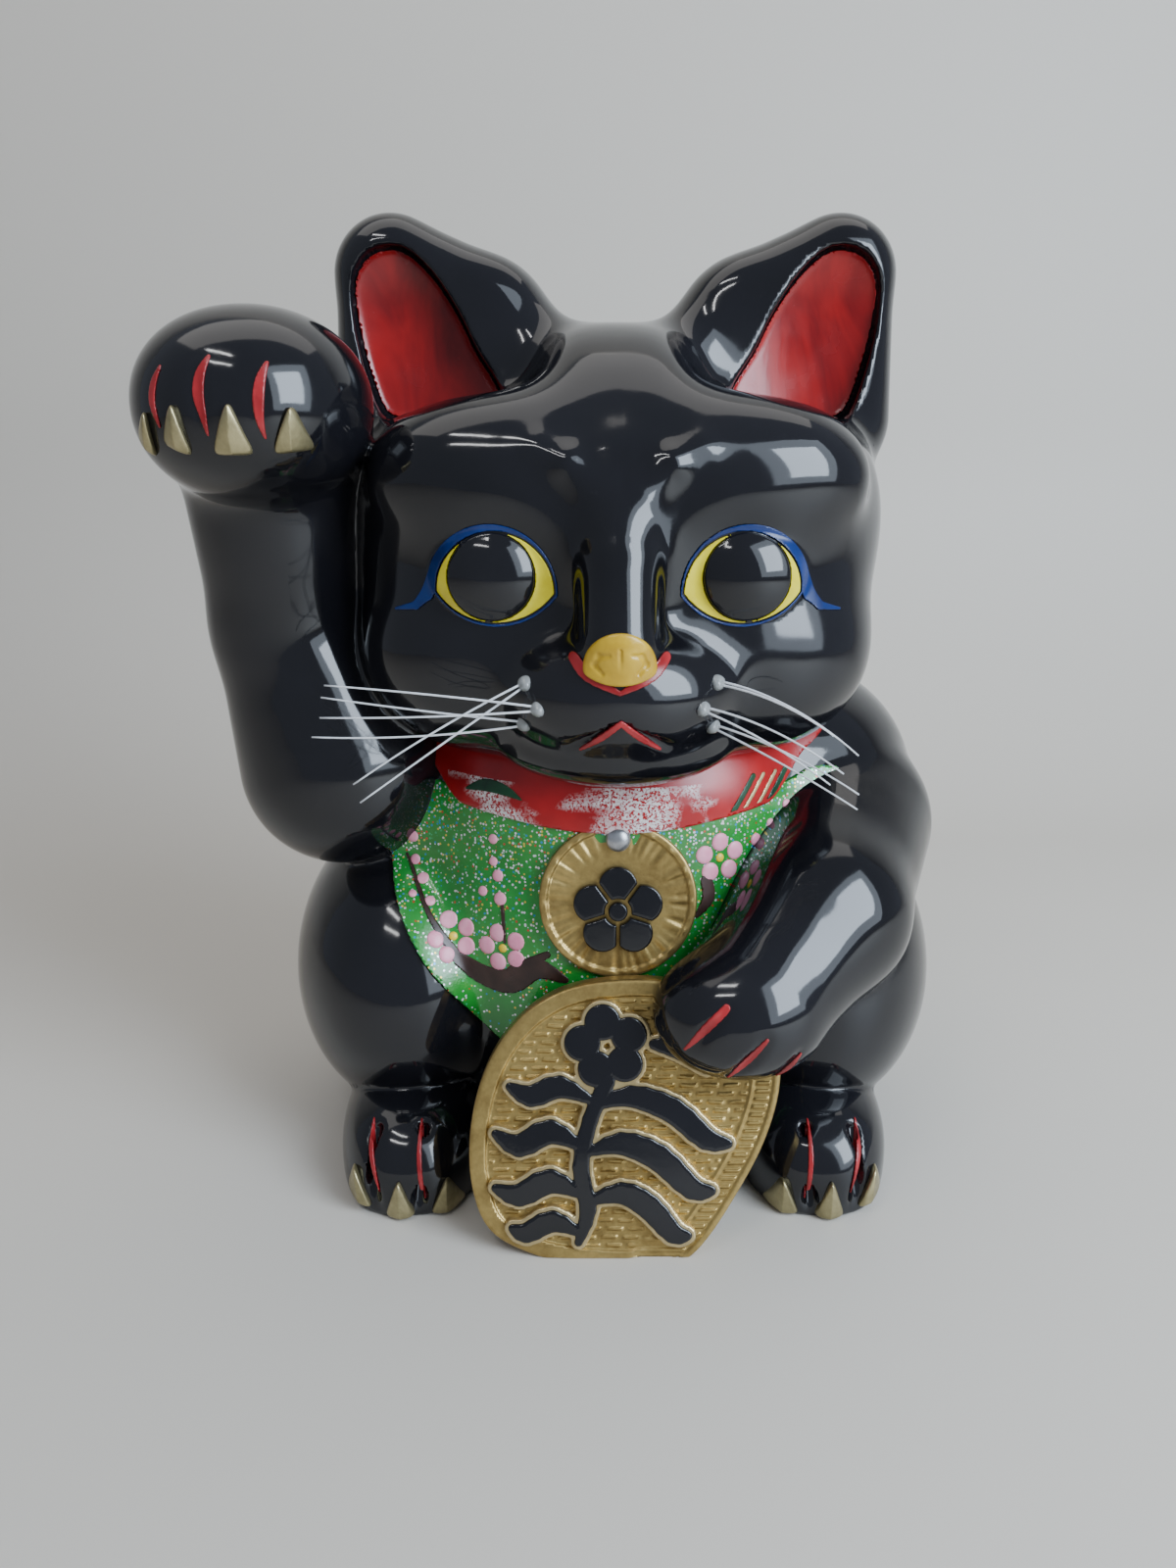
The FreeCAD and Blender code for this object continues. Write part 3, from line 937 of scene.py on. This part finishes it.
PAW_STROKES = [
    ([(-166, 360), (-169, 354), (-170, 347), (-168, 339)], [0.5, 1.3, 1.3, 0.5]),
    ([(-147, 363), (-150, 357), (-151, 350), (-150, 343), (-149, 336)], [0.7, 1.8, 2.0, 1.3, 0.4]),
    ([(-127, 361), (-129, 355), (-130, 348), (-130, 341), (-129, 335)], [0.7, 1.7, 1.9, 1.3, 0.4]),
]
PAW_CLAWS = [
    [(-173, 347), (-181, 334), (-173, 327)],
    [(-161, 349), (-168, 333), (-156, 328)],
    [(-140, 349), (-149, 329), (-133, 329)],
    [(-119, 348), (-128, 329), (-113, 331)],
]
FOOT_STROKES = [
    ([(87, 40), (87, 30), (86, 18), (85, 9)], [0.5, 1.05, 0.9, 0.4]),
    ([(109, 39), (109, 31), (107, 22), (105, 13)], [0.5, 1.1, 0.9, 0.4]),
]
FOOT_CLAWS = [
    [(75, 20), (67, 1), (83, 1)],
    [(96, 22), (88.5, 1), (103, 1)],
    [(117, 24), (108, 3), (122, 8)],
]
LOWERED_STROKES = [
    ([(43, 118), (35, 109), (27, 98)], [1.5, 1.9, 0.5]),
    ([(59, 106), (52, 96), (45, 85)], [0.8, 1.6, 0.5]),
    ([(74, 96), (70, 88), (66, 82)], [0.6, 1.3, 0.5]),
]


def claw_field(base, corners, thick=3.0):
    """A claw: a rounded triangle that stands up along its middle line."""
    middle = (np.array(corners[1]) + np.array(corners[2])) / 2
    tip = np.array(corners[0])
    run = (tip - middle) / np.linalg.norm(tip - middle)
    outline = triangle(corners, 5.0)

    def field(p):
        off = np.abs((p[:, 0] - tip[0]) * run[1] - (p[:, 2] - tip[1]) * run[0])
        top = base(p) - thick + 0.30 * off
        return keep(keep(top, -base(p) - SINK, 0.3), outline(p), 2.2)
    return field


def make_claws(name, base, sets, node):
    """The claws of one paw, joined in one piece."""
    claws = any_of([claw_field(base, corners) for corners in sets])
    spots = np.array(sets).reshape(-1, 2)
    y = [front(base, float(x), float(z) + 1.5) for x, z in spots]
    low = (spots[:, 0].min() - 4, min(y) - 6, max(spots[:, 1].min() - 4, 0.2))
    high = (spots[:, 0].max() + 4, max(y) + 8, spots[:, 1].max() + 4)

    field = lambda p: np.maximum(claws(p), 0.6 - p[:, 2])
    model(name, field, low, high, 0.7, CLAW_GOLD, [node])


def make_paw_marks():
    make_claws("raised_paw_claws_gold", raised_arm, PAW_CLAWS, "raised_paw_claws")
    marks = any_of([stroke(*mark) for mark in PAW_STROKES])
    coat("raised_paw_lines", raised_arm, marks, 0.5, (-176, -142, 330), (-120, -108, 370), 0.55,
         RED_LINE)
    for name, side in SIDES:
        claws = [[(x * side, z) for x, z in corners] for corners in FOOT_CLAWS]
        make_claws(name + "_foot_claws_gold", hind_foot, claws, name + "_foot_claws")
        lines = [stroke([(x * side, z) for x, z in at], radii) for at, radii in FOOT_STROKES]
        low, high = on_side(side, (80, 114), (-128, -84), (3, 45))
        coat(name + "_foot_lines", hind_foot, any_of(lines), 0.5, low, high, 0.55, RED_LINE)
    lines = any_of([stroke(*mark) for mark in LOWERED_STROKES])
    coat("lowered_paw_lines", lowered_arm, lines, 0.5, (22, -164, 78), (80, -130, 124), 0.55,
         RED_LINE)


make_eyes()
make_nose()
make_ear_linings()
make_paw_marks()


# ---- collar and bib ----
COLLAR_T = 4.0
COLLAR_REACH = 23.0
BIB_T = 2.3
BIB_EDGE = [(0, 52), (30, 58), (54, 72), (71, 92), (88, 114), (101, 138), (105, 160), (104, 190)]
BIB_RING = smooth_loop(BIB_EDGE + [(-x, z) for x, z in BIB_EDGE[:0:-1]])


def bib_top(p):
    return torso(p) - BIB_T


def collar_top(p):
    return torso(p) - COLLAR_T


def bib_outline(p):
    ring = in_loop(p[:, 0], p[:, 2], BIB_RING)
    return np.maximum(np.maximum(ring, p[:, 1] + 20), 18 - skull(p))


def collar_outline(p):
    """Wide at the front and the back, narrow where it runs past the shoulders."""
    reach = COLLAR_REACH - 13 * smoothstep(np.abs(p[:, 0]), 68, 88)
    return skull(p) - reach


def on_collar(outlines):
    inside = any_of(outlines)
    return lambda p: np.maximum(inside(p), collar_outline(p) + 2)


BEAD_RISE = 0.85


def square_to(axis):
    """Two directions square to an axis and to each other."""
    across = np.cross(axis, (0, 0, 1))
    across /= np.linalg.norm(across)
    return across, np.cross(across, axis)


def bead(name, base, spots, paint):
    """Low round drops of enamel at (x, z, radius), each lying on the surface."""
    points, faces = [], []
    rings, around = 4, 16
    for x, z, radius in spots:
        centre = np.array([x, front(base, x, z), z])
        normal = gradient(base, centre[None].astype(np.float32))[0]
        normal = normal / np.linalg.norm(normal)
        across, up = square_to(normal)
        first = len(points)
        points.append(centre + normal * BEAD_RISE)
        for ring in range(1, rings + 1):
            angle = pi / 2 * ring / rings
            reach = radius * sin(angle)
            height = BEAD_RISE * cos(angle) - 0.25 * (ring == rings)
            for i in range(around):
                a = 2 * pi * i / around
                spot = centre + across * reach * cos(a) + up * reach * sin(a)
                lift = float(base(spot[None].astype(np.float32))[0])
                points.append(spot + normal * (height - lift))
        for i in range(around):
            j = (i + 1) % around
            faces.append((first, first + 1 + j, first + 1 + i))
            for ring in range(rings - 1):
                a = first + 1 + ring * around
                faces.append((a + i, a + j, a + around + j, a + around + i))
        last = first + 1 + (rings - 1) * around
        faces.append(tuple(last + i for i in range(around)))
    piece(name, np.array(points), faces, paint)


BLOSSOMS = [(-73, 119, 36), (-50, 117, 36), (46, 158, 18)]
BUDS = [(-84, 133, 2.6), (-92, 136, 2.0), (-88, 141, 3.0), (-92, 148, 2.6), (-93, 159, 3.0),
        (-51, 139, 3.2), (-59, 141, 2.4), (-52, 149, 2.8), (-54, 155, 2.2), (-54, 165, 2.4),
        (63, 163, 3.0), (71, 161, 2.8), (70, 169, 2.2), (78, 176, 2.4)]
BRANCHES = [
    ([(-96, 150), (-89, 137), (-83, 127), (-72, 112)], [0.7, 0.9, 1.1, 2.0]),
    ([(-72, 111), (-60, 103), (-47, 102), (-35, 110), (-22, 106)], [2.0, 4.6, 5.6, 4.8, 1.6]),
    ([(-47, 102), (-44, 108), (-30, 117)], [3.0, 3.0, 1.6]),
    ([(-49, 120), (-50, 136)], [0.7, 0.9]),
    ([(40, 149), (41, 141), (36, 134)], [2.6, 2.8, 1.2]),
]


def make_collar_and_bib():
    model("bib_enamel", skin(torso, bib_outline, BIB_T, 1.6), (-112, -108, 46), (112, -14, 186),
          1.5, GREEN, ["bib"], bib_top)
    model("collar_enamel", skin(torso, collar_outline, COLLAR_T, 2.6), (-122, -104, 164),
          (122, 92, 246), 1.5, COLLAR, ["collar"], collar_top)
    petals = [(x + 7.4 * cos(radians(phase + 72 * i)),
               z + 7.0 * sin(radians(phase + 72 * i)), 4.3)
              for x, z, phase in BLOSSOMS for i in range(5)]
    bead("bib_petals", bib_top, petals + BUDS, PINK)
    bead("bib_stamens", bib_top, [(x, z, 2.1) for x, z, _ in BLOSSOMS], YOLK)
    coat("bib_branches", bib_top, any_of([stroke(*b) for b in BRANCHES]), 0.5,
         (-100, -106, 94), (50, -50, 154), 0.7, BROWN, soft=0.4)
    for tone, paint, spots, radius, low, high in (
            ("green", DARK_GREEN, (50, 66), 1.3, (44, -98, 172), (90, -40, 196)),
            ("gold", PALE_GOLD, (55, 61, 71), 0.9, (48, -98, 172), (94, -36, 196))):
        stripes = [stroke([(x, 176), (x + 11, 192)], [radius] * 2) for x in spots]
        coat("collar_stripes_" + tone, collar_top, on_collar(stripes), 0.4, low, high, 0.6, paint,
             soft=0.3)
    leaf = [stroke([(-66, 186), (-57, 189), (-48, 188), (-41, 185)], [0.5, 2.6, 2.2, 0.4])]
    coat("collar_leaf", collar_top, on_collar(leaf), 0.4, (-72, -100, 180), (-36, -56, 196), 0.6,
         DARK_GREEN, soft=0.3)


DARK_GREEN = enamel("leaf_green", (0.003, 0.03, 0.012), (0.012, 0.085, 0.03), 0.2), "green_glitter"
make_collar_and_bib()


# ---- medallion and koban ----
class Plane:
    """A leaning plane: u across, v up the slope and w out of its front."""

    def __init__(self, origin, lean):
        angle = radians(lean)
        self.origin = vec(origin)
        self.across = vec((1, 0, 0))
        self.up = vec((0, sin(angle), cos(angle)))
        self.out = vec((0, -cos(angle), sin(angle)))

    def place(self, points):
        u, v, w = points[:, :1], points[:, 1:2], points[:, 2:]
        return self.origin + u * self.across + v * self.up + w * self.out

    def build(self, name, field, low, high, step, paint, nodes=()):
        """A piece whose field is written in the plane's own u, v and w."""
        points, quads, normals = sculpt(field, low, high, step)
        turned = self.place(normals) - self.origin
        piece(name, self.place(points), quads, paint, nodes, turned)


def blossom(u, v, centre, orbit, radius, phase=90.0):
    """Outline of a five-petal blossom, with a notch between petals."""
    petals = []
    for i in range(5):
        a = radians(phase + 72 * i)
        x, y = orbit * cos(a), orbit * sin(a)
        petals.append(np.hypot(u - centre[0] - x, v - centre[1] - y) - radius)
    return np.minimum.reduce(petals)


def slab(outline, w, low, high, soft):
    return keep(outline, np.abs(w - (low + high) / 2) - (high - low) / 2, soft)


MEDALLION = Plane((1, -99.5, 143), 9)
MEDALLION_R = 34.3


def medallion_field(p):
    """Round plate with a raised rim and hammered rays round it."""
    u, v, w = p.T
    r = np.hypot(u, v)
    angle = np.arctan2(v, u)
    rays = np.cos(23 * angle + 2.2 * np.sin(3 * angle))
    rays = rays + 0.6 * np.cos(41 * angle + 1.3 * np.sin(5 * angle))
    height = 0.42 * rays * smoothstep(r, 19, 27) * (1 - smoothstep(r, 31, 33))
    rim = 0.9 * smoothstep(r, 30.0, 31.5)
    return slab(r - MEDALLION_R, w - height * 0.6 - rim + 0.9, -7, 0.0, 2.4)


def medallion_emblem_field(p):
    u, v, w = p.T
    petals = blossom(u, v, (0, -4.5), 11.5, 8.4)
    eye = np.hypot(u, v + 4.5) - 4.2
    petals = np.maximum(petals, -(eye - 1.6))
    for i in range(5):
        a = radians(54 + 72 * i)
        gap = np.abs(-u * sin(a) + (v + 4.5) * cos(a)) - 0.7
        ahead = -(u * cos(a) + (v + 4.5) * sin(a))
        petals = np.maximum(petals, -np.maximum(gap, ahead))
    return slab(np.minimum(petals, eye), w, -2, 2.6, 1.6)


KOBAN = Plane((0, -150, 0), 15.8)
KOBAN_T = 13.0
KOBAN_EDGE = [(-15, -3), (15, -4), (28, -2), (39, 8), (52, 28), (63, 49), (69.5, 71), (69, 90),
              (59, 105), (39, 114.5), (15, 119), (-14, 117), (-34, 108.5), (-48.5, 94), (-58, 75),
              (-62.5, 52), (-61.5, 30), (-54, 12), (-37, 2)]
KOBAN_RING = smooth_loop(KOBAN_EDGE, 5)


def koban_ornament(u, v):
    """Outline of the raised ornament: a plum blossom on a leafy stem."""
    d = np.maximum(blossom(u, v, (-4, 91), 10.5, 7.6, 100), 2.2 - np.hypot(u + 4, v - 91))
    flat = np.stack([u, np.zeros_like(u), v], 1).astype(np.float32)
    for points, radii in KOBAN_STROKES:
        d = join(d, tube(flat, [(x, 0, z) for x, z in points], radii, 1), 1)
    return d


KOBAN_LEAVES = [
    ([(-4, 76), (-11, 60), (-15, 40), (-12, 22), (-16, 8)], [3.4, 3.2, 3.4, 3.4, 1.6]),
    ([(-8, 66), (6, 70), (24, 64), (38, 52), (47, 50)], [1.5, 4.4, 5.4, 4.6, 2.2]),
    ([(-12, 46), (2, 50), (18, 44), (32, 31), (40, 30)], [1.5, 4.6, 5.6, 4.6, 2.2]),
    ([(-13, 25), (2, 29), (14, 23), (24, 12), (30, 11)], [1.5, 4.4, 5.2, 4.2, 2.0]),
    ([(-10, 68), (-24, 74), (-36, 70), (-45, 74)], [1.5, 4.6, 4.4, 1.8]),
    ([(-14, 48), (-28, 55), (-41, 49), (-51, 54)], [1.5, 5.0, 4.6, 1.8]),
    ([(-14, 28), (-28, 34), (-41, 28), (-51, 31)], [1.5, 5.0, 4.6, 1.8]),
    ([(-15, 12), (-27, 17), (-38, 12), (-44, 14)], [1.5, 4.4, 4.0, 1.6]),
    ([(16, 92), (28, 90), (38, 82)], [2.2, 4.8, 2.6]),
]
KOBAN_STROKES = [flowing(points, radii, 3) for points, radii in KOBAN_LEAVES]


def koban_field(p):
    """Oval coin: plain rim, an inner line, tick marks down one side and short hatching."""
    u, v, w = p.T
    edge = in_loop(u, v, KOBAN_RING)
    depth = -edge
    right = smoothstep(u - 0.35 * v, 4, 12)
    ledge = 7.5 + 1.5 * right
    rim = 1.5 * (1 - smoothstep(depth, ledge - 0.8, ledge + 0.4))
    rim = rim * (1 - right) + 0.9 * (1 - smoothstep(depth, 2.6, 3.6)) * right
    ticks = 0.9 * smoothstep(np.cos(2 * pi * v / 3.4), -0.1, 0.6)
    ticks *= smoothstep(depth, 3.8, 4.6) * (1 - smoothstep(depth, 9.6, 10.4)) * right
    line = 0.9 * np.exp(-((depth - 12.0) / 0.8) ** 2) * right
    row = np.floor(v / 3.6)
    shift = 4.3 * np.mod(row, 2) + 1.7 * np.sin(row * 2.3)
    along = np.mod(u + shift, 9.2) / 9.2
    dash = smoothstep(np.sin(pi * along), 0.25, 0.6)
    wave = np.cos(2 * pi * (v / 3.6 - 0.5) + 0.5 * np.sin(u * 0.45))
    hatch = 0.75 * dash * smoothstep(wave, 0.0, 0.8)
    clear = 1 - right * (1 - smoothstep(depth, 13, 14))
    hatch *= smoothstep(depth, ledge + 0.5, ledge + 2.0) * clear
    height = rim + ticks + line + hatch - 1.5
    return slab(edge, w - height * 0.7, -KOBAN_T, 0.0, 3.0)


def above_table(plane, field):
    """Cuts a plane's field off at the table."""
    level = float(plane.origin[2])
    return lambda p: np.maximum(field(p), -(level + p[:, 1] * plane.up[2] + p[:, 2] * plane.out[2]))


def koban_wall_field(p):
    return slab(koban_ornament(p[:, 0], p[:, 1]) - 1.9, p[:, 2], -3, 2.3, 1.4)


def koban_cap_field(p):
    return slab(koban_ornament(p[:, 0], p[:, 1]) - 0.2, p[:, 2], -1, 3.3, 1.8)


def make_discs():
    stud = lambda p: ellipsoid(p, (0, 27, 0), (5.4, 5.4, 3.4))
    walls, caps = above_table(KOBAN, koban_wall_field), above_table(KOBAN, koban_cap_field)
    MEDALLION.build("medallion_gold", medallion_field, (-37, -37, -9), (37, 37, 3), 0.8, GOLD,
                    ["medallion"])
    MEDALLION.build("medallion_blossom", medallion_emblem_field, (-24, -28, -3), (24, 20, 4), 0.7,
                    BLACK, ["medallion_emblem"])
    MEDALLION.build("medallion_stud_silver", stud, (-7, 20, -5), (7, 34, 5), 0.7, SILVER,
                    ["medallion_stud"])
    KOBAN.build("koban_gold", above_table(KOBAN, koban_field), (-66, -9, -16), (74, 123, 3), 0.9,
                GOLD, ["koban"])
    KOBAN.build("koban_relief_walls", walls, (-56, 2, -4), (54, 112, 4), 0.9, PALE_GOLD,
                ["koban_emblem"])
    KOBAN.build("koban_relief_caps", caps, (-56, 2, -2), (54, 112, 5), 0.8, BLACK)


make_discs()


# ---- whiskers and stopper ----
WHISKERS = {
    "left": [((-36, 244), [(-101, -146, 209), (-98, -150, 203)], 1),
             ((-31, 235), [(-111, -140, 246), (-113, -142, 234)], 0),
             ((-37, 227), [(-113, -138, 241), (-117, -140, 226)], -1)],
    "right": [((38, 244), [(91, -141, 219), (81, -143, 227)], 4),
              ((32, 235), [(84, -149, 214), (79, -150, 210)], 3),
              ((37, 226), [(91, -146, 205), (90, -149, 200)], 2)],
}
WHISKER_R = 0.5


def whisker(root, tip, sag):
    """A thin tapering bristle along a gentle curve."""
    root, tip = np.array(root, float), np.array(tip, float)
    middle = (root + tip) / 2 + np.array((0, -4.0, sag))
    spans, around = 14, 8
    points, faces = [], []
    for i in range(spans + 1):
        t = i / spans
        centre = (1 - t) ** 2 * root + 2 * t * (1 - t) * middle + t * t * tip
        run = 2 * (1 - t) * (middle - root) + 2 * t * (tip - middle)
        run /= np.linalg.norm(run)
        across, up = square_to(run)
        radius = WHISKER_R * (1 - 0.35 * t)
        for k in range(around):
            a = 2 * pi * k / around
            points.append(centre + radius * (cos(a) * across + sin(a) * up))
    for i in range(spans):
        for k in range(around):
            j = (k + 1) % around
            a, b = i * around, (i + 1) * around
            faces.append((a + j, a + k, b + k, b + j))
    faces.append(tuple(range(around)))
    faces.append(tuple(spans * around + k for k in reversed(range(around))))
    return points, faces


def make_whiskers():
    roots = []
    for name, groups in WHISKERS.items():
        points, faces = [], []
        for (x, z), tips, sag in groups:
            root = np.array((x, front(skull, x, z) + 1.0, z))
            roots.append(root)
            for index, tip in enumerate(tips):
                start = root + np.array((0, 0, 0.7 - 1.4 * index))
                more, rings = whisker(start, tip, 2 * sag + 2 - 3 * index)
                faces += [tuple(len(points) + i for i in ring) for ring in rings]
                points += more
        piece(name + "_whisker_hairs", np.array(points), faces, NYLON, [name + "_whiskers"])

    def glue(p):
        return np.minimum.reduce([join(ellipsoid(p, root, (3.4, 2.6, 3.2)),
                                       ellipsoid(p, root + (0, -1.6, -0.6), (2.0, 2.0, 2.0)), 1.5)
                                  for root in roots])

    model("whisker_glue_drops", glue, (-43, -142, 218), (43, -112, 252), 0.6, GLUE,
          ["whisker_glue"])


def finish_stopper():
    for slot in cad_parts["base_stopper"].material_slots:
        slot.material = RUBBER


make_whiskers()
finish_stopper()
